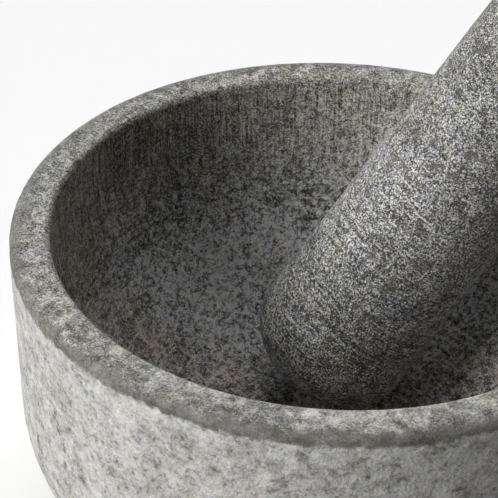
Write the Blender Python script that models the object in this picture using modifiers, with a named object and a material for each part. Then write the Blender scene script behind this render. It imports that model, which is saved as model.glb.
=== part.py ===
"""Granite mortar with its loose pestle, standing on a thin anti-slip pad.

Metres, +Z up. The origin is the centre of the pad's underside, on the table,
and +Z is the axis that the mortar is turned about. The pestle leans in the
cup towards +X, resting on the cup's floor and on the rim's inner edge.
"""
import math

import bpy
from mathutils import Vector

# Driving dimensions of the mortar
OUTER_RADIUS = 0.0700
RIM_HEIGHT = 0.0820
CUP_RADIUS = 0.0613
CUP_DEPTH = 0.0630
CUP_EXPONENT = 2.4
CUP_TOP_ANGLE = math.radians(88.5)
RIM_OUTER_ROUND = 0.0022
RIM_INNER_ROUND = 0.0014
WALL_TAPER = 0.028
STRAIGHT_WALL = 0.0390
LOWER_CURVE_RADIUS = 0.0425
FOOT_ROUND = 0.0060

# Driving dimensions of the pestle
PESTLE_RADIUS = 0.0187
PESTLE_TAPER = 0.0192
PESTLE_SHAFT = 0.1260
PESTLE_NOSE = 0.0153
PESTLE_CROWN = 0.0085
PESTLE_TILT = math.radians(34.1)
PESTLE_HEADING = math.radians(20.2)
PESTLE_NOSE_CENTRE = Vector((0.0008, 0.0187, 0.0385))

# Driving dimensions of the pad
PAD_RADIUS = 0.0320
PAD_THICKNESS = 0.0020
PAD_EDGE = 0.0005

GAP = 0.0003
MERGE = 0.00001
SHARP_ANGLE = math.radians(30)

# Steps round each turned body, and segments along each round of its profile
BOWL_STEPS = 72
PESTLE_STEPS = 40
PAD_STEPS = 48
CUP_SEGMENTS = 15
RIM_INNER_SEGMENTS = 4
RIM_OUTER_SEGMENTS = 5
LOWER_CURVE_SEGMENTS = 10
FOOT_SEGMENTS = 2
CROWN_SEGMENTS = 6
NOSE_SEGMENTS = 10


def clear_scene():
    for old in list(bpy.data.objects):
        bpy.data.objects.remove(old, do_unlink=True)


def make_collection(name):
    collection = bpy.data.collections.new(name)
    bpy.context.scene.collection.children.link(collection)
    return collection


def make_material(name, colour, roughness, metallic=0.0):
    material = bpy.data.materials.new(name)
    material.use_nodes = True
    shader = material.node_tree.nodes["Principled BSDF"]
    shader.inputs["Base Color"].default_value = (*colour, 1.0)
    shader.inputs["Roughness"].default_value = roughness
    shader.inputs["Metallic"].default_value = metallic
    material.diffuse_color = (*colour, 1.0)
    return material


def arc(centre, radii, start, end, count):
    """Points on an ellipse, from one angle to another, both ends included."""
    points = []
    for i in range(count + 1):
        angle = math.radians(start + (end - start) * i / count)
        points.append((centre[0] + radii[0] * math.cos(angle),
                       centre[1] + radii[1] * math.sin(angle)))
    return points


def turned(name, profile, steps, material, collection):
    """A body turned about its own Z axis from a profile that starts and ends on it."""
    mesh = bpy.data.meshes.new(name)
    points = [(x, 0.0, z) for x, z in profile]
    edges = [(i, i + 1) for i in range(len(points) - 1)]
    mesh.from_pydata(points, edges, [])
    body = bpy.data.objects.new(name, mesh)
    body.data.materials.append(material)
    collection.objects.link(body)
    screw = body.modifiers.new("turned", "SCREW")
    screw.axis = "Z"
    screw.angle = math.tau
    screw.steps = steps
    screw.render_steps = steps
    screw.use_merge_vertices = True
    screw.merge_threshold = MERGE
    screw.use_smooth_shade = True
    return body


def finish_shading(body):
    """Bake the turning into the mesh, so that its smooth and sharp edges are set."""
    graph = bpy.context.evaluated_depsgraph_get()
    mesh = bpy.data.meshes.new_from_object(body.evaluated_get(graph))
    mesh.name = body.name
    mesh.shade_smooth()
    mesh.set_sharp_from_angle(angle=SHARP_ANGLE)
    body.modifiers.clear()
    body.data = mesh


def cup_profile():
    """The cup from its floor's centre to just under the rim, a rounded superellipse."""
    power = 2.0 / CUP_EXPONENT
    points = []
    for i in range(CUP_SEGMENTS + 1):
        angle = CUP_TOP_ANGLE * i / CUP_SEGMENTS
        radius = CUP_RADIUS * math.sin(angle) ** power
        depth = CUP_DEPTH * math.cos(angle) ** power
        points.append((radius, RIM_HEIGHT - depth))
    return points


def rim_profile():
    """A flat rim between a small inner round and a larger outer round."""
    inner = (CUP_RADIUS + RIM_INNER_ROUND, RIM_HEIGHT - RIM_INNER_ROUND)
    outer = (OUTER_RADIUS - RIM_OUTER_ROUND, RIM_HEIGHT - RIM_OUTER_ROUND)
    inner_radii = (RIM_INNER_ROUND, RIM_INNER_ROUND)
    outer_radii = (RIM_OUTER_ROUND, RIM_OUTER_ROUND)
    inner_round = arc(inner, inner_radii, 180, 90, RIM_INNER_SEGMENTS)
    outer_round = arc(outer, outer_radii, 90, 0, RIM_OUTER_SEGMENTS)
    return inner_round + outer_round


def wall_profile():
    """The near-upright wall, the round lower curve and a tighter round into the foot."""
    foot_z = PAD_THICKNESS + GAP
    curve_z = RIM_HEIGHT - STRAIGHT_WALL
    curve_r = OUTER_RADIUS - WALL_TAPER * (STRAIGHT_WALL - RIM_OUTER_ROUND)
    inner_r = LOWER_CURVE_RADIUS - FOOT_ROUND
    turn = math.asin((curve_z - foot_z - FOOT_ROUND) / inner_r)
    centre = (curve_r - LOWER_CURVE_RADIUS, curve_z)
    foot_centre = (centre[0] + inner_r * math.cos(turn), foot_z + FOOT_ROUND)
    start = -math.degrees(turn)
    lower_radii = (LOWER_CURVE_RADIUS, LOWER_CURVE_RADIUS)
    lower = arc(centre, lower_radii, 0, start, LOWER_CURVE_SEGMENTS)
    foot = arc(foot_centre, (FOOT_ROUND, FOOT_ROUND), start, -90, FOOT_SEGMENTS)
    return lower + foot[1:]


def make_bowl(material, collection):
    under_foot = [(0.0, PAD_THICKNESS + GAP)]
    profile = cup_profile() + rim_profile() + wall_profile() + under_foot
    return turned("mortar_bowl", profile, BOWL_STEPS, material, collection)


def make_pestle(material, collection):
    """A blunt-nosed, slightly tapering club; its origin is the nose's centre."""
    top_radius = PESTLE_RADIUS - PESTLE_TAPER * PESTLE_SHAFT
    crown = arc((0.0, PESTLE_SHAFT), (top_radius, PESTLE_CROWN), 90, 0, CROWN_SEGMENTS)
    half_way = [((top_radius + PESTLE_RADIUS) / 2, PESTLE_SHAFT / 2)]
    nose = arc((0.0, 0.0), (PESTLE_RADIUS, PESTLE_NOSE), 0, -90, NOSE_SEGMENTS)
    profile = crown + half_way + nose
    pestle = turned("pestle", profile, PESTLE_STEPS, material, collection)
    heading = Vector((math.cos(PESTLE_HEADING), math.sin(PESTLE_HEADING), 0.0))
    lean = heading * math.sin(PESTLE_TILT) + Vector((0.0, 0.0, math.cos(PESTLE_TILT)))
    pestle.location = PESTLE_NOSE_CENTRE
    pestle.rotation_mode = "QUATERNION"
    pestle.rotation_quaternion = lean.to_track_quat("Z", "Y")
    return pestle


def make_pad(material, collection):
    """A flat disc with a small bevel round its upper and lower edges."""
    inset = PAD_RADIUS - PAD_EDGE
    profile = [
        (0.0, PAD_THICKNESS),
        (inset, PAD_THICKNESS),
        (PAD_RADIUS, PAD_THICKNESS - PAD_EDGE),
        (PAD_RADIUS, PAD_EDGE),
        (inset, 0.0),
        (0.0, 0.0),
    ]
    return turned("base_pad", profile, PAD_STEPS, material, collection)


def main():
    clear_scene()
    collection = make_collection("granite_mortar_and_pestle")
    bowl_granite = make_material("granite_bowl", (0.34, 0.33, 0.31), 0.85)
    pestle_granite = make_material("granite_pestle", (0.22, 0.22, 0.22), 0.70)
    foam = make_material("black_foam", (0.03, 0.03, 0.03), 0.90)
    bodies = [
        make_bowl(bowl_granite, collection),
        make_pestle(pestle_granite, collection),
        make_pad(foam, collection),
    ]
    bpy.context.view_layer.update()
    for body in bodies:
        finish_shading(body)


main()
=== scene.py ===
"""Looks for the granite mortar and pestle: fine stone surfaces, camera, light and floor.

Metres, +Z up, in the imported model's own frame: the origin is on the table under
the mortar's turning axis.
"""

import math

import bpy
import numpy as np
from mathutils import Matrix, Vector, noise


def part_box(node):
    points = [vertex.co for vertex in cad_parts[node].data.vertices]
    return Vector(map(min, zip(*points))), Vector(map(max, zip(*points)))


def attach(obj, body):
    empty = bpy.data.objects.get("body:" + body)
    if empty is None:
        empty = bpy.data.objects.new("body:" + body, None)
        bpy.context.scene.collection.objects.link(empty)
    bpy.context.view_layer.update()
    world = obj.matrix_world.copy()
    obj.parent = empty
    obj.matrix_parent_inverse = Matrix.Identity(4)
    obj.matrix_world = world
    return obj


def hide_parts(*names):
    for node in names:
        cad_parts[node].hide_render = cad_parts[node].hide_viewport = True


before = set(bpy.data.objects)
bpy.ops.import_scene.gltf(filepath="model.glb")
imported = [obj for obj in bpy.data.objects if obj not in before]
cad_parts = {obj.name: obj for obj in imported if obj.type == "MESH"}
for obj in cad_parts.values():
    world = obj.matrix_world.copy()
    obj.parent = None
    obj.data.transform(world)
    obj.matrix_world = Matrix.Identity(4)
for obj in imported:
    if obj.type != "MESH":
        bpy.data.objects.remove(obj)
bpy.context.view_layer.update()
BOWL_LOW, BOWL_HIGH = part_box("mortar_bowl")
PAD_LOW, PAD_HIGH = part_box("base_pad")

# The mortar's section
OUTER_RADIUS = BOWL_HIGH.x
RIM_HEIGHT = BOWL_HIGH.z
FOOT_HEIGHT = BOWL_LOW.z
CUP_RADIUS = 0.0613
CUP_DEPTH = 0.0630
CUP_EXPONENT = 2.4
CUP_LAST_ANGLE = 88.5
CUP_POINTS = 200
RIM_OUTER_ROUND = 0.0022
RIM_INNER_ROUND = 0.0014
WALL_TAPER = 0.028
STRAIGHT_WALL = 0.0390
LOWER_CURVE_RADIUS = 0.0425
FOOT_ROUND = 0.0060
FOOT_FLAT_RADIUS = 0.0378

# The pestle's section and place
PESTLE_RADIUS = 0.0187
PESTLE_TAPER = 0.0192
PESTLE_SHAFT = 0.1260
PESTLE_NOSE = 0.0153
PESTLE_CROWN = 0.0085
PESTLE_TILT = math.radians(34.1)
PESTLE_HEADING = math.radians(20.2)
PESTLE_NOSE_CENTRE = Vector((0.0008, 0.0187, 0.0385))

# Points round each turned piece
BOWL_STEPS = 440
PESTLE_STEPS = 220
PAD_STEPS = 160

MM = 0.001


# ---------------------------------------------------------------- turned surfaces

def arc(centre, radii, start, end, count=24):
    """Points on an ellipse, from one angle in degrees to another."""
    angles = np.radians(np.linspace(start, end, count + 1))
    return np.stack([centre[0] + radii[0] * np.cos(angles),
                     centre[1] + radii[1] * np.sin(angles)], axis=1)


def resampled(points, spacing):
    """The same line with points at a local spacing, given as (length along, spacing).

    Returns the points and each point's length along the line.
    """
    steps = np.linalg.norm(np.diff(points, axis=0), axis=1)
    keep = np.concatenate([[True], steps > 1e-7])
    points = points[keep]
    along = np.concatenate([[0.0], np.cumsum(np.linalg.norm(np.diff(points, axis=0), axis=1))])
    where, gap = zip(*spacing)
    fine = np.linspace(0.0, along[-1], 20000)
    density = 1.0 / np.interp(fine, where, gap)
    count_at = np.concatenate([[0.0], np.cumsum((density[1:] + density[:-1]) / 2 * np.diff(fine))])
    total = int(round(count_at[-1]))
    chosen = np.interp(np.linspace(0.0, count_at[-1], total + 1), count_at, fine)
    return np.stack([np.interp(chosen, along, points[:, 0]),
                     np.interp(chosen, along, points[:, 1])], axis=1), chosen


def section_normals(points):
    """Outward normals of a section that runs from the axis, up, out and down again."""
    run = np.gradient(points, axis=0)
    normals = np.stack([-run[:, 1], run[:, 0]], axis=1)
    return normals / np.linalg.norm(normals, axis=1, keepdims=True)


def turned_mesh(name, section, along, steps, relief, place=Matrix.Identity(4)):
    """A closed turned mesh whose points are moved along the normal by relief(...).

    It keeps two attributes for its material: "stone", each point in the stone's own
    frame in metres, and "along", its length along the section.
    """
    normals = section_normals(section)
    normals[0] = (0.0, math.copysign(1.0, normals[1][1]))
    normals[-1] = (0.0, math.copysign(1.0, normals[-2][1]))
    turns = np.linspace(0.0, math.tau, steps, endpoint=False)
    points = []
    stone = []
    lengths = []
    for i, (radius, height) in enumerate(section):
        ring = turns if 0 < i < len(section) - 1 else turns[:1]
        for turn in ring:
            out = Vector((math.cos(turn), math.sin(turn), 0.0))
            point = out * radius + Vector((0.0, 0.0, height))
            normal = out * normals[i][0] + Vector((0.0, 0.0, normals[i][1]))
            points.append(place @ (point + normal * relief(point, along[i])))
            stone.extend(point)
            lengths.append(along[i])
    faces = []
    rings = len(section) - 2
    last = 1 + (rings - 1) * steps
    for j in range(steps):
        k = (j + 1) % steps
        faces.append((0, 1 + j, 1 + k))
        for low in range(1, last, steps):
            high = low + steps
            faces.append((low + j, high + j, high + k, low + k))
        faces.append((last + j, last + steps, last + k))
    mesh = bpy.data.meshes.new(name)
    mesh.from_pydata(points, [], faces)
    mesh.attributes.new("stone", "FLOAT_VECTOR", "POINT").data.foreach_set("vector", stone)
    mesh.attributes.new("along", "FLOAT", "POINT").data.foreach_set("value", lengths)
    mesh.shade_smooth()
    piece = bpy.data.objects.new(name, mesh)
    bpy.context.scene.collection.objects.link(piece)
    return piece


def bowl_section():
    """From the cup's floor up to the rim, over it, and down to the middle of the foot."""
    power = 2.0 / CUP_EXPONENT
    angles = np.radians(np.linspace(0.0, CUP_LAST_ANGLE, CUP_POINTS))
    cup = np.stack([CUP_RADIUS * np.sin(angles) ** power,
                    RIM_HEIGHT - CUP_DEPTH * np.cos(angles) ** power], axis=1)
    inner = (CUP_RADIUS + RIM_INNER_ROUND, RIM_HEIGHT - RIM_INNER_ROUND)
    outer = (OUTER_RADIUS - RIM_OUTER_ROUND, RIM_HEIGHT - RIM_OUTER_ROUND)
    inner_round = arc(inner, (RIM_INNER_ROUND, RIM_INNER_ROUND), 180, 90)
    outer_round = arc(outer, (RIM_OUTER_ROUND, RIM_OUTER_ROUND), 90, 0)
    curve_z = RIM_HEIGHT - STRAIGHT_WALL
    curve_r = OUTER_RADIUS - WALL_TAPER * (STRAIGHT_WALL - RIM_OUTER_ROUND)
    inner_r = LOWER_CURVE_RADIUS - FOOT_ROUND
    turn = math.asin((curve_z - FOOT_HEIGHT - FOOT_ROUND) / inner_r)
    centre = (curve_r - LOWER_CURVE_RADIUS, curve_z)
    foot_centre = (centre[0] + inner_r * math.cos(turn), FOOT_HEIGHT + FOOT_ROUND)
    start = -math.degrees(turn)
    lower = arc(centre, (LOWER_CURVE_RADIUS, LOWER_CURVE_RADIUS), 0, start)
    foot = arc(foot_centre, (FOOT_ROUND, FOOT_ROUND), start, -90)
    under = np.array([(0.0, FOOT_HEIGHT)])
    return np.concatenate([cup, inner_round, outer_round, lower, foot, under])


def length_to(points, radius, height):
    """Length along a section to its point nearest to a place on it."""
    along = np.concatenate([[0.0], np.cumsum(np.linalg.norm(np.diff(points, axis=0), axis=1))])
    nearest = np.argmin(np.hypot(points[:, 0] - radius, points[:, 1] - height))
    return along[nearest]


def smooth(low, high, value):
    """0 below low, 1 above high, and a smooth step between them."""
    t = min(max((value - low) / (high - low), 0.0), 1.0)
    return t * t * (3.0 - 2.0 * t)


def lumps(point, size, seed=0.0):
    """Smooth noise from about -1 to 1, with features of the given size."""
    return noise.noise(point / size + Vector((seed, seed * 0.7, seed * 1.3)))


def bowl_relief(point, along):
    """The height of the bowl's surface over the turned section, in metres.

    It is rough and pitted outside, chipped along both edges of the rim, and even
    under the foot. along is measured from the middle of the rim.
    """
    outside = smooth(5.0 * MM, 7.5 * MM, along)
    under = smooth(FOOT_ALONG - 6 * MM, FOOT_ALONG, along)
    wave = 0.10 * MM * lumps(point, 26 * MM)
    rough = 0.10 * MM * lumps(point, 2.9 * MM, 3.0) + 0.09 * MM * lumps(point, 5.5 * MM, 7.0)
    pits = -0.28 * MM * smooth(0.32, 0.62, lumps(point, 3.4 * MM, 11.0))
    edge = max(smooth(1.6 * MM, 3.2 * MM, along) * (1.0 - smooth(5.6 * MM, 7.0 * MM, along)),
               smooth(-5.6 * MM, -4.2 * MM, along) * (1.0 - smooth(-3.2 * MM, -2.2 * MM, along)))
    chips = -0.30 * MM * smooth(0.25, 0.60, lumps(point, 2.6 * MM, 17.0))
    worn = 0.05 * MM * lumps(point, 3.2 * MM, 5.0)
    height = wave + worn + outside * (rough + pits) + edge * chips
    return height * (1.0 - under)


def pestle_relief(point, along):
    """The height of the pestle's surface over its turned section, in metres."""
    wave = 0.09 * MM * lumps(point, 17 * MM, 2.0)
    worn = 0.045 * MM * lumps(point, 2.3 * MM, 9.0)
    pits = -0.22 * MM * smooth(0.42, 0.62, lumps(point, 2.4 * MM, 23.0))
    return wave + worn + pits


def pad_relief(point, along):
    """The height of the pad's surface over its turned section, in metres."""
    return 0.03 * MM * lumps(point, 1.5 * MM, 4.0) - 0.03 * MM


def make_bowl(material):
    """The mortar's one stone, with its points closest together round the rim."""
    section = bowl_section()
    spacing = [(0, 1.1 * MM), (RIM_ALONG - 12 * MM, 1.1 * MM), (RIM_ALONG - 7 * MM, 0.45 * MM),
               (RIM_ALONG + 9 * MM, 0.45 * MM), (RIM_ALONG + 20 * MM, 1.1 * MM),
               (RIM_ALONG + 95 * MM, 1.3 * MM), (RIM_ALONG + 110 * MM, 3 * MM)]
    points, along = resampled(section, spacing)
    bowl = turned_mesh("mortar_bowl_stone", points, along - RIM_ALONG, BOWL_STEPS, bowl_relief)
    bowl.data.materials.append(material)
    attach(bowl, "mortar")
    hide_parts("mortar_bowl")


def make_pestle(material):
    """The pestle's one stone, leaning in the cup."""
    top_radius = PESTLE_RADIUS - PESTLE_TAPER * PESTLE_SHAFT
    nose = arc((0.0, 0.0), (PESTLE_RADIUS, PESTLE_NOSE), -90, 0, 60)
    crown = arc((0.0, PESTLE_SHAFT), (top_radius, PESTLE_CROWN), 0, 90, 60)
    section = np.concatenate([nose, crown])[::-1]
    points, along = resampled(section, [(0, 0.6 * MM), (1, 0.6 * MM)])
    heading = Vector((math.cos(PESTLE_HEADING), math.sin(PESTLE_HEADING), 0.0))
    lean = heading * math.sin(PESTLE_TILT) + Vector((0.0, 0.0, math.cos(PESTLE_TILT)))
    turn = lean.to_track_quat("Z", "Y").to_matrix().to_4x4()
    place = Matrix.Translation(PESTLE_NOSE_CENTRE) @ turn
    pestle = turned_mesh("pestle_stone", points, along, PESTLE_STEPS, pestle_relief, place)
    pestle.data.materials.append(material)
    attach(pestle, "pestle")
    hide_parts("pestle")


def make_pad(material):
    """A thin foam disc with rounded edges, cut a little unevenly."""
    round_r = 0.7 * MM
    rim_r = PAD_HIGH.x - round_r
    top = arc((rim_r, PAD_HIGH.z - round_r), (round_r, round_r), 90, 0, 6)
    bottom = arc((rim_r, PAD_LOW.z + round_r), (round_r, round_r), 0, -90, 6)
    first = np.array([(0.0, PAD_HIGH.z)])
    last = np.array([(0.0, PAD_LOW.z)])
    section = np.concatenate([first, top, bottom, last])
    points, along = resampled(section, [(0, 2.5 * MM), (rim_r - 2 * MM, 0.4 * MM),
                                        (rim_r + 4 * MM, 0.4 * MM), (2 * rim_r, 2.5 * MM)])
    pad = turned_mesh("base_pad_foam", points, along, PAD_STEPS, pad_relief)
    pad.data.materials.append(material)
    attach(pad, "mortar")
    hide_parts("base_pad")


SECTION = bowl_section()
RIM_ALONG = length_to(SECTION, (CUP_RADIUS + OUTER_RADIUS) / 2, RIM_HEIGHT)
FOOT_ALONG = length_to(SECTION, FOOT_FLAT_RADIUS, FOOT_HEIGHT) - RIM_ALONG


# ---------------------------------------------------------------- stone and foam

# Places of the colour sockets on a Mix node
MIX_FACTOR = 0
MIX_FIRST = 6
MIX_SECOND = 7
MIX_RESULT = 2


class Shader:
    """A material's node tree, built up in small named steps.

    stone is each point in the stone's own frame, and across and forward are its X and
    Y; along is the length along the turned section. All are in metres. On the bowl,
    along is 0 in the middle of the rim, below 0 in the cup and above 0 outside. On the
    pestle, it is 0 in the middle of the crown and greatest at the nose.
    """

    def __init__(self, name):
        self.material = bpy.data.materials.new(name)
        self.material.use_nodes = True
        self.tree = self.material.node_tree
        self.surface = self.tree.nodes["Principled BSDF"]
        self.stone = self.node("ShaderNodeAttribute", attribute_name="stone").outputs["Vector"]
        self.along = self.node("ShaderNodeAttribute", attribute_name="along").outputs["Fac"]
        parts = self.node("ShaderNodeSeparateXYZ")
        self.put(parts.inputs[0], self.stone)
        self.across = parts.outputs["X"]
        self.forward = parts.outputs["Y"]

    def node(self, kind, **settings):
        """A new node with the given settings."""
        made = self.tree.nodes.new(kind)
        for name, value in settings.items():
            setattr(made, name, value)
        return made

    def put(self, socket, value):
        """Links another node's output to a socket, or sets its value."""
        if isinstance(value, bpy.types.NodeSocket):
            self.tree.links.new(value, socket)
        elif isinstance(value, tuple) and len(value) == 3 and socket.type == "RGBA":
            socket.default_value = (*value, 1.0)
        else:
            socket.default_value = value

    def maths(self, operation, *values):
        """One operation on two or three numbers."""
        made = self.node("ShaderNodeMath", operation=operation)
        for socket, value in zip(made.inputs, values):
            self.put(socket, value)
        return made.outputs[0]

    def vector(self, operation, *values):
        """One operation on points, whose result is a point."""
        made = self.node("ShaderNodeVectorMath", operation=operation)
        for socket, value in zip(made.inputs, values):
            self.put(socket, value)
        return made.outputs[0]

    def noise(self, point, size, detail=2.0, roughness=0.5, seed=0.0):
        """Smooth noise from 0 to 1 with features of the given size in metres.

        detail and roughness add finer noise, and each seed gives another pattern.
        """
        made = self.node("ShaderNodeTexNoise", noise_dimensions="4D")
        self.put(made.inputs["Vector"], point)
        made.inputs["W"].default_value = seed
        made.inputs["Scale"].default_value = 1.0 / size
        made.inputs["Detail"].default_value = detail
        made.inputs["Roughness"].default_value = roughness
        return made.outputs["Fac"]

    def crystals(self, point, size):
        """Random greys from 0 to 1, one for each cell of the given size."""
        made = self.node("ShaderNodeTexVoronoi", feature="F1")
        self.put(made.inputs["Vector"], point)
        made.inputs["Scale"].default_value = 1.0 / size
        channels = self.node("ShaderNodeSeparateColor")
        self.put(channels.inputs["Color"], made.outputs["Color"])
        return channels.outputs["Red"]

    def step(self, value, low, high, start=0.0, end=1.0):
        """A smooth step of value from start at low to end at high."""
        made = self.node("ShaderNodeMapRange", interpolation_type="SMOOTHSTEP")
        for name, amount in (("Value", value), ("From Min", low), ("From Max", high),
                             ("To Min", start), ("To Max", end)):
            self.put(made.inputs[name], amount)
        return made.outputs["Result"]

    def mix(self, factor, first, second, blend="MIX"):
        """Two colours or greys mixed, from the first at factor 0 to the second at 1."""
        made = self.node("ShaderNodeMix", data_type="RGBA", blend_type=blend)
        self.put(made.inputs[MIX_FACTOR], factor)
        self.put(made.inputs[MIX_FIRST], first)
        self.put(made.inputs[MIX_SECOND], second)
        return made.outputs[MIX_RESULT]

    def tinted(self, factor, colour, tint):
        """A colour multiplied by a tint, as far as factor says."""
        return self.mix(factor, colour, self.mix(1.0, colour, tint, "MULTIPLY"))

    def ramp(self, factor, stops):
        """A colour from a list of (position, colour), with positions from 0 to 1."""
        made = self.node("ShaderNodeValToRGB")
        self.put(made.inputs[0], factor)
        elements = made.color_ramp.elements
        while len(elements) < len(stops):
            elements.new(0.5)
        for element, (position, colour) in zip(elements, stops):
            element.position = position
            element.color = (*colour, 1.0)
        return made.outputs[0]

    def warped(self, amount, size):
        """The stone's own coordinates, shifted about by noise."""
        made = self.node("ShaderNodeTexNoise")
        self.put(made.inputs["Vector"], self.stone)
        made.inputs["Scale"].default_value = 1.0 / size
        shift = self.vector("SUBTRACT", made.outputs["Color"], (0.5, 0.5, 0.5))
        scaled = self.node("ShaderNodeVectorMath", operation="SCALE")
        self.put(scaled.inputs[0], shift)
        scaled.inputs["Scale"].default_value = amount
        return self.vector("ADD", self.stone, scaled.outputs[0])

    def bump(self, height, depth):
        """A normal from a height, where a height of 1 stands for depth metres."""
        made = self.node("ShaderNodeBump")
        made.inputs["Strength"].default_value = 1.0
        made.inputs["Distance"].default_value = depth
        self.put(made.inputs["Height"], height)
        return made.outputs["Normal"]


def centred(sh, value, gain):
    """value - 0.5, times a gain."""
    return sh.maths("MULTIPLY", sh.maths("SUBTRACT", value, 0.5), gain)


def times(sh, first, *others):
    """The product of two or more values."""
    for other in others:
        first = sh.maths("MULTIPLY", first, other)
    return first


def summed(sh, first, *others):
    """The sum of two or more values."""
    for other in others:
        first = sh.maths("ADD", first, other)
    return first


def grain(sh):
    """Interlocking crystals a fifth to half a millimetre across, from about -1.4 to 1.4."""
    point = sh.warped(0.22 * MM, 0.45 * MM)
    coarse = centred(sh, sh.crystals(point, 0.55 * MM), 0.45)
    fine = centred(sh, sh.crystals(point, 0.30 * MM), 0.85)
    specks = centred(sh, sh.crystals(sh.stone, 0.19 * MM), 1.55)
    return summed(sh, coarse, fine, specks)


def patches(sh):
    """Uneven light and dark patches, 1 to 20 mm across, from about -0.4 to 0.4."""
    small = centred(sh, sh.noise(sh.stone, 2.4 * MM, 4.0, 0.68, 1.7), 1.0)
    large = centred(sh, sh.noise(sh.stone, 15 * MM, 2.0, 0.5, 4.1), 0.45)
    return sh.maths("ADD", small, large)


def stretched(sh, across, down):
    """Coordinates round the stone and down it, each scaled, with no seam."""
    flat = sh.vector("NORMALIZE", sh.vector("MULTIPLY", sh.stone, (1.0, 1.0, 0.0)))
    sideways = sh.vector("MULTIPLY", flat, (across, across, 0.0))
    upright = sh.vector("MULTIPLY", sh.stone, (0.0, 0.0, down))
    return sh.vector("ADD", sideways, upright)


def ringed(sh, keep, lean=0.0):
    """Coordinates that run mostly along the section, so that noise on them makes rings.

    The smaller keep is, the longer each ring runs; lean tips the rings a little.
    """
    tilt = sh.maths("MULTIPLY", sh.across, lean)
    ring = sh.node("ShaderNodeCombineXYZ")
    sh.put(ring.inputs["Z"], sh.maths("ADD", sh.along, tilt))
    return sh.vector("ADD", sh.vector("MULTIPLY", sh.stone, (keep, keep, keep)), ring.outputs[0])


# Stone colours by tone, from 0 (darkest) to TOP_TONE
TOP_TONE = 1.3
DARK_STONE = [(0.00, (0.030, 0.030, 0.027)), (0.30, (0.090, 0.089, 0.082)),
              (0.50, (0.203, 0.201, 0.190)), (0.72, (0.370, 0.366, 0.350)),
              (1.00, (0.620, 0.612, 0.588)), (TOP_TONE, (0.820, 0.810, 0.780))]
LIGHT_STONE = [(0.00, (0.110, 0.106, 0.092)), (0.30, (0.270, 0.262, 0.242)),
               (0.50, (0.415, 0.404, 0.380)), (0.72, (0.550, 0.537, 0.510)),
               (1.00, (0.700, 0.686, 0.658)), (TOP_TONE, (0.820, 0.808, 0.780))]
LILAC = (0.97, 0.985, 1.08)
OLIVE = (0.98, 0.965, 0.88)
PALE_LILAC = (0.99, 0.995, 1.025)
PALE_OLIVE = (0.995, 0.985, 0.95)
BROWN = (1.025, 0.995, 0.925)
COOL = (0.990, 0.998, 1.030)
EARTHY = (1.075, 0.955, 0.840)
RUST = (0.190, 0.115, 0.070)
DARK_SPOT = (0.085, 0.073, 0.054)
OLIVE_STAIN = (0.215, 0.205, 0.155)
# Fine tints of the crystals: their least colour, and how much noise adds to it
TINT_LEAST = (0.88, 0.96, 0.78)
TINT_RANGE = (0.24, 0.08, 0.44)
# Middle tones of each surface, before its grain and marks are added
PESTLE_TONE = 0.395
RIM_TONE = 0.50
BAND_TONE = 0.475
OUTSIDE_TONE = 0.89


def stone_colour(sh, tone, stops, seed, lilac, olive):
    """A tone turned into stone colours, with lilac and olive areas, fine tints and rust specks."""
    colour = sh.ramp(times(sh, tone, 1.0 / TOP_TONE), [(at / TOP_TONE, c) for at, c in stops])
    hue = sh.noise(sh.stone, 4.5 * MM, 4.0, 0.65, seed)
    colour = sh.tinted(sh.step(hue, 0.48, 0.66), colour, lilac)
    colour = sh.tinted(sh.step(hue, 0.52, 0.34), colour, olive)
    tint = sh.node("ShaderNodeTexNoise")
    sh.put(tint.inputs["Vector"], sh.stone)
    tint.inputs["Scale"].default_value = 1.0 / (1.2 * MM)
    tints = sh.vector("MULTIPLY_ADD", tint.outputs["Color"], TINT_RANGE, TINT_LEAST)
    colour = sh.mix(1.0, colour, tints, "MULTIPLY")
    rust = sh.step(sh.noise(sh.stone, 1.3 * MM, 1.0, 0.5, seed + 9.0), 0.70, 0.75, 0.0, 0.5)
    return sh.mix(rust, colour, RUST)


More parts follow.
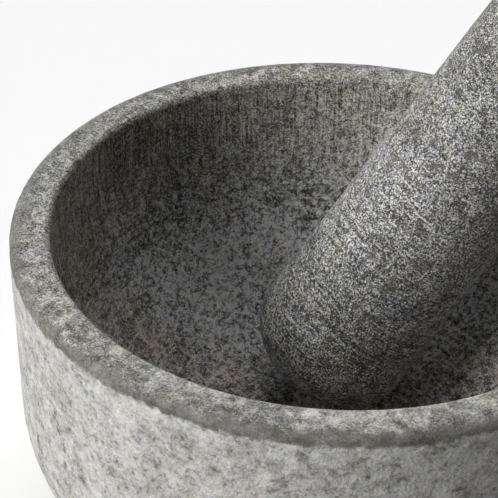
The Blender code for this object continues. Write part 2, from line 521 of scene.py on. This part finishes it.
def make_pestle_granite():
    """Honed granite with fine crystals, a few dark inclusions and marks from turning."""
    sh = Shader("granite_pestle_fine")
    crystal = grain(sh)
    spots = sh.step(sh.noise(sh.stone, 3.0 * MM, 3.0, 0.55, 12.0), 0.575, 0.625)
    toward_nose = sh.step(sh.along, 95 * MM, 125 * MM, 0.45, 1.0)
    area = sh.step(sh.noise(sh.stone, 9 * MM, 1.0, 0.5, 15.0), 0.38, 0.60)
    rings = centred(sh, sh.noise(ringed(sh, 0.03), 0.60 * MM, 2.0, 0.6), 1.60)
    leaning = centred(sh, sh.noise(ringed(sh, 0.05, 0.22), 0.50 * MM, 1.0, 0.5, 6.0), 1.15)
    marks = times(sh, area, toward_nose, sh.maths("ADD", rings, leaning))
    long_lines = sh.noise(ringed(sh, 0.045, 0.12), 0.42 * MM, 0.0, 0.5, 3.0)
    scratch = sh.step(long_lines, 0.68, 0.78, 0.0, 0.38)
    fine_lines = sh.noise(ringed(sh, 0.03, 0.12), 0.32 * MM, 0.0, 0.5, 16.0)
    hairlines = times(sh, sh.step(fine_lines, 0.60, 0.72, 0.0, 0.24),
                      sh.step(sh.along, 112 * MM, 132 * MM))
    # worn is painted shade: the tone darkens toward the nose, where the pestle stands down in the
    # cup
    worn = sh.step(sh.along, 100 * MM, 152 * MM, 0.0, -0.17)
    broad = centred(sh, sh.noise(sh.stone, 5.0 * MM, 3.0, 0.65, 19.0), 0.85)
    grainy = times(sh, crystal, sh.step(sh.along, 70 * MM, 130 * MM, 0.88, 1.15))
    tone = summed(sh, grainy, patches(sh), broad, marks, scratch, hairlines, worn,
                  PESTLE_TONE)
    colour = stone_colour(sh, tone, DARK_STONE, 2.0, LILAC, OLIVE)
    spotted = sh.mix(times(sh, spots, 0.65), colour, DARK_SPOT)
    sh.put(sh.surface.inputs["Base Color"], spotted)
    sh.put(sh.surface.inputs["Roughness"], sh.step(crystal, -0.3, 0.4, 0.80, 0.55))
    height = summed(sh, crystal, marks)
    sh.put(sh.surface.inputs["Normal"], sh.bump(height, 0.08 * MM))
    return sh.material


def nearer_part(sh):
    """1 over the side of the stone toward -Y, and 0 over the side toward +Y."""
    return sh.step(sh.forward, 31 * MM, 15 * MM)


def round_area(sh, place, size, amount):
    """A soft round area of the stone, size metres across, that changes the tone by amount."""
    offset = sh.node("ShaderNodeVectorMath", operation="DISTANCE")
    sh.put(offset.inputs[0], sh.stone)
    sh.put(offset.inputs[1], place)
    return sh.step(offset.outputs["Value"], 0.5 * size, 0.1 * size, 0.0, amount)


# How pale the cup is from its floor (0) up to its rim (1)
CUP_PALE = [(0.00, (0.72, 0.72, 0.72)), (0.16, (0.83, 0.83, 0.83)), (0.42, (0.83, 0.83, 0.83)),
            (0.60, (0.65, 0.65, 0.65)), (0.85, (0.61, 0.61, 0.61)), (1.00, (0.57, 0.57, 0.57))]
# Soft round pools of painted light and painted shade on the cup: middle, size across, and how much
# paler (painted light) or darker (painted shade, below 0)
CUP_LIGHT_AND_SHADE_POOLS = [((-0.030, 0.040, 0.036), 66 * MM, 0.16),
             ((-0.042, 0.043, 0.066), 60 * MM, -0.10),
             ((0.012, 0.058, 0.056), 54 * MM, 0.18)]


def cup_tone(sh, crystal, patch):
    """The cup: upright streaks near the rim, rings from turning and paler patches lower down, with
    soft round pools of painted light and painted shade.
    """
    upper = times(sh, sh.step(sh.along, -44 * MM, -16 * MM), sh.step(sh.along, -5 * MM, -9 * MM))
    streaks = centred(sh, sh.noise(stretched(sh, 0.061, 0.05), 0.44 * MM, 1.0, 0.5, 8.0), 1.25)
    lower = sh.step(sh.along, -20 * MM, -36 * MM)
    area = sh.step(sh.noise(sh.stone, 14 * MM, 1.0, 0.5, 21.0), 0.38, 0.60)
    rings = centred(sh, sh.noise(ringed(sh, 0.045), 0.80 * MM, 2.0, 0.6, 5.0), 1.30)
    pale = sh.ramp(sh.step(sh.along, -80 * MM, 0.0), CUP_PALE)
    contrast = sh.step(sh.along, -18 * MM, -45 * MM, 1.10, 1.90)
    clusters = centred(sh, sh.step(sh.noise(sh.stone, 1.30 * MM, 3.0, 0.7, 9.0), 0.35, 0.65),
                       sh.step(sh.along, -18 * MM, -45 * MM, 0.35, 0.95))
    front = times(sh, lower, nearer_part(sh))
    clusters = times(sh, clusters, sh.maths("MULTIPLY_ADD", front, -0.45, 1.0))
    dashes = sh.step(sh.noise(ringed(sh, 0.12), 0.42 * MM, 2.0, 0.6, 12.0), 0.54, 0.68, -0.10, 0.42)
    # Soft round pools of painted light and painted shade on the cup walls
    painted_light_and_shade = [round_area(sh, place, size, amount) for place, size, amount in CUP_LIGHT_AND_SHADE_POOLS]
    return summed(sh, times(sh, crystal, 0.60), clusters, times(sh, patch, contrast), *painted_light_and_shade,
                  times(sh, upper, streaks), times(sh, lower, area, rings),
                  times(sh, front, dashes), times(sh, front, -0.05), pale)


def rim_tone(sh, crystal, patch):
    """The rim: cloudy and pale on its inner half, dark and smooth over its outer edge."""
    cloud = sh.step(sh.noise(sh.stone, 3.4 * MM, 4.0, 0.7, 31.0), 0.40, 0.62, -0.10, 0.20)
    forward = sh.step(sh.forward, -OUTER_RADIUS, OUTER_RADIUS, 0.05, -0.07)
    inner = times(sh, sh.step(sh.along, -1.2 * MM, -2.9 * MM),
                  sh.step(sh.forward, 0.0, -40 * MM, 0.07, 0.08))
    top = summed(sh, times(sh, crystal, 0.55), times(sh, patch, 1.25), cloud, forward, inner,
                 RIM_TONE)
    wander = centred(sh, sh.noise(sh.stone, 4.2 * MM, 3.0, 0.6, 33.0), 6.0 * MM)
    outer = sh.step(sh.forward, 0.0, -50 * MM, 0.0, -1.4 * MM)
    edge = sh.step(summed(sh, outer, sh.along, wander), -1.4 * MM, 0.6 * MM)
    smear = centred(sh, sh.noise(sh.stone, 6.5 * MM, 3.0, 0.6, 55.0), 0.55)
    band = summed(sh, times(sh, crystal, 0.20), times(sh, patch, 0.50), smear, BAND_TONE)
    return sh.mix(edge, top, band)


def make_bowl_granite():
    """Dark honed stone in the cup and on the rim, a pale rough skin on the outside."""
    sh = Shader("granite_bowl_fine")
    crystal = grain(sh)
    patch = patches(sh)
    near = sh.step(sh.forward, 0.0, -40 * MM, 0.0, 2.2 * MM)
    in_cup = sh.step(sh.maths("ADD", sh.along, near), -3.4 * MM, -5.0 * MM)
    smoothed = times(sh, crystal, sh.step(sh.forward, -66 * MM, -20 * MM, 0.50, 1.0))
    dark_tone = sh.mix(in_cup, rim_tone(sh, smoothed, patch), cup_tone(sh, crystal, patch))
    dark = stone_colour(sh, dark_tone, DARK_STONE, 2.0, LILAC, OLIVE)

    # Cooler low in the cup, with earthy areas there, and browner near and on the rim
    cup_brown = sh.step(sh.along, -40 * MM, -14 * MM)
    rim_brown = sh.step(sh.along, -1.5 * MM, 1.5 * MM, 0.45, 0.95)
    brown = sh.mix(in_cup, rim_brown, cup_brown)
    deep = sh.step(sh.along, -30 * MM, -50 * MM)
    dark = sh.tinted(deep, dark, COOL)
    soil = sh.step(sh.noise(sh.stone, 6.0 * MM, 3.0, 0.65, 71.0), 0.38, 0.58)
    fading = sh.step(sh.forward, -30 * MM, 0.0, 0.3, 1.0)
    earthy = times(sh, soil, nearer_part(sh), fading, sh.step(sh.along, -20 * MM, -36 * MM))
    dark = sh.tinted(earthy, dark, EARTHY)
    dark = sh.tinted(brown, dark, BROWN)

    # The outside: pale, with grey flecks and a few olive stains, and a ragged upper edge
    wander = centred(sh, sh.noise(sh.stone, 7.0 * MM, 1.0, 0.5, 6.0), 2.4 * MM)
    ragged = centred(sh, sh.noise(sh.stone, 1.9 * MM, 4.0, 0.65, 7.0), 3.6 * MM)
    outside = sh.step(summed(sh, sh.along, wander, ragged), 3.6 * MM, 4.9 * MM)
    small_flecks = sh.step(sh.noise(sh.stone, 0.95 * MM, 2.0, 0.6, 41.0), 0.42, 0.68, 0.0, -0.30)
    large_flecks = sh.step(sh.noise(sh.stone, 2.8 * MM, 4.0, 0.65, 42.0), 0.46, 0.66, 0.0, -0.36)
    mottle = centred(sh, sh.noise(sh.stone, 5.0 * MM, 3.0, 0.65, 43.0), 1.25)
    pale_tone = summed(sh, times(sh, smoothed, 0.28), times(sh, patch, 1.15), small_flecks,
                       large_flecks, mottle, OUTSIDE_TONE)
    pale = stone_colour(sh, pale_tone, LIGHT_STONE, 5.0, PALE_LILAC, PALE_OLIVE)
    stain = sh.step(sh.noise(sh.stone, 4.0 * MM, 1.0, 0.5, 44.0), 0.70, 0.76, 0.0, 0.45)
    pale = sh.mix(stain, pale, OLIVE_STAIN)

    sh.put(sh.surface.inputs["Base Color"], sh.mix(outside, dark, pale))
    honed = sh.step(crystal, -0.3, 0.4, 0.80, 0.60)
    sh.put(sh.surface.inputs["Roughness"], sh.maths("MULTIPLY_ADD", outside, 0.15, honed))
    rough = sh.noise(sh.stone, 1.0 * MM, 3.0, 0.62, 51.0)
    relief = sh.maths("MULTIPLY_ADD", sh.maths("MULTIPLY", outside, rough), 4.0, crystal)
    sh.put(sh.surface.inputs["Normal"], sh.bump(relief, 0.09 * MM))
    return sh.material


FOAM_TONES = [(0.2, (0.012, 0.012, 0.012)), (0.8, (0.045, 0.045, 0.043))]


def make_foam():
    """Black closed foam with fine cells."""
    sh = Shader("pad_foam_fine")
    cells = sh.noise(sh.stone, 0.5 * MM, 2.0, 0.6)
    sh.put(sh.surface.inputs["Base Color"], sh.ramp(cells, FOAM_TONES))
    sh.surface.inputs["Roughness"].default_value = 0.9
    sh.put(sh.surface.inputs["Normal"], sh.bump(cells, 0.15 * MM))
    return sh.material


# ---------------------------------------------------------------- camera, floor, light

CAMERA_DISTANCE = 0.448
CAMERA_ELEVATION = math.radians(34.36)
CAMERA_YAW = math.radians(2.40)
CAMERA_PITCH = math.radians(-0.81)
CAMERA_ROLL = math.radians(-3.08)
CAMERA_LENS = 151.6
CAMERA_SENSOR = 36.0


def make_camera():
    """A long lens looking down into the cup, turned so that the rim fills the frame."""
    data = bpy.data.cameras.new("camera")
    data.lens = CAMERA_LENS
    data.sensor_width = CAMERA_SENSOR
    camera = bpy.data.objects.new("camera", data)
    bpy.context.scene.collection.objects.link(camera)
    rim_centre = Vector((0.0, 0.0, RIM_HEIGHT))
    back = Vector((0.0, -math.cos(CAMERA_ELEVATION), math.sin(CAMERA_ELEVATION)))
    aim = (-back).to_track_quat("-Z", "Y").to_matrix().to_4x4()
    turn = (Matrix.Rotation(CAMERA_YAW, 4, "Y") @ Matrix.Rotation(CAMERA_PITCH, 4, "X")
            @ Matrix.Rotation(-CAMERA_ROLL, 4, "Z"))
    camera.matrix_world = Matrix.Translation(rim_centre + back * CAMERA_DISTANCE) @ aim @ turn
    bpy.context.scene.camera = camera


# Name, strength, azimuth, elevation and spread, with angles in degrees
LIGHTS = [("key", 1.22, 209, 24, 46), ("back", 0.60, 102, 20, 48),
          ("side", 0.03, 50, 30, 50), ("top", 0.27, 90, 75, 40)]


def make_soft_light(name, strength, azimuth, elevation, spread):
    """A wide soft light far away, from a direction in degrees; azimuth 0 is +X, 90 is +Y."""
    data = bpy.data.lights.new(name, "SUN")
    data.energy = strength * math.pi
    data.angle = math.radians(spread)
    light = bpy.data.objects.new(name, data)
    bpy.context.scene.collection.objects.link(light)
    turn = math.radians(azimuth)
    rise = math.radians(elevation)
    towards = Vector((math.cos(turn) * math.cos(rise), math.sin(turn) * math.cos(rise),
                      math.sin(rise)))
    light.rotation_mode = "QUATERNION"
    light.rotation_quaternion = towards.to_track_quat("Z", "Y")


# How pale the floor looks, and how much of the light it throws back on the stone
FLOOR_SEEN = 0.93
FLOOR_BOUNCE = 0.24
FLOOR_SIZE = 30.0


def make_floor():
    """A plain pale floor that throws back less light than its tone would."""
    bpy.ops.mesh.primitive_plane_add(size=FLOOR_SIZE)
    floor = bpy.context.object
    floor.name = "floor"
    material = bpy.data.materials.new("pale_floor")
    material.use_nodes = True
    tree = material.node_tree
    surface = tree.nodes["Principled BSDF"]
    path = tree.nodes.new("ShaderNodeLightPath")
    tone = tree.nodes.new("ShaderNodeMapRange")
    tone.inputs["To Min"].default_value = FLOOR_BOUNCE
    tone.inputs["To Max"].default_value = FLOOR_SEEN
    tree.links.new(path.outputs["Is Camera Ray"], tone.inputs["Value"])
    tree.links.new(tone.outputs["Result"], surface.inputs["Base Color"])
    surface.inputs["Roughness"].default_value = 0.9
    surface.inputs["Specular IOR Level"].default_value = 0.1
    floor.data.materials.append(material)


WHITE = (1.0, 1.0, 1.0, 1.0)
WORLD_LIGHT = 0.03


def make_world():
    """A studio that is seen as white and adds only a little light."""
    world = bpy.data.worlds.new("studio")
    bpy.context.scene.world = world
    world.use_nodes = True
    tree = world.node_tree
    tree.nodes.clear()
    path = tree.nodes.new("ShaderNodeLightPath")
    light = tree.nodes.new("ShaderNodeBackground")
    seen = tree.nodes.new("ShaderNodeBackground")
    either = tree.nodes.new("ShaderNodeMixShader")
    out = tree.nodes.new("ShaderNodeOutputWorld")
    light.inputs["Color"].default_value = WHITE
    light.inputs["Strength"].default_value = WORLD_LIGHT
    seen.inputs["Color"].default_value = WHITE
    tree.links.new(path.outputs["Is Camera Ray"], either.inputs[0])
    tree.links.new(light.outputs[0], either.inputs[1])
    tree.links.new(seen.outputs[0], either.inputs[2])
    tree.links.new(either.outputs[0], out.inputs["Surface"])


make_camera()
make_bowl(make_bowl_granite())
make_pestle(make_pestle_granite())
make_pad(make_foam())
make_floor()
make_world()
for light_settings in LIGHTS:
    make_soft_light(*light_settings)
bpy.context.scene.view_settings.view_transform = "Standard"
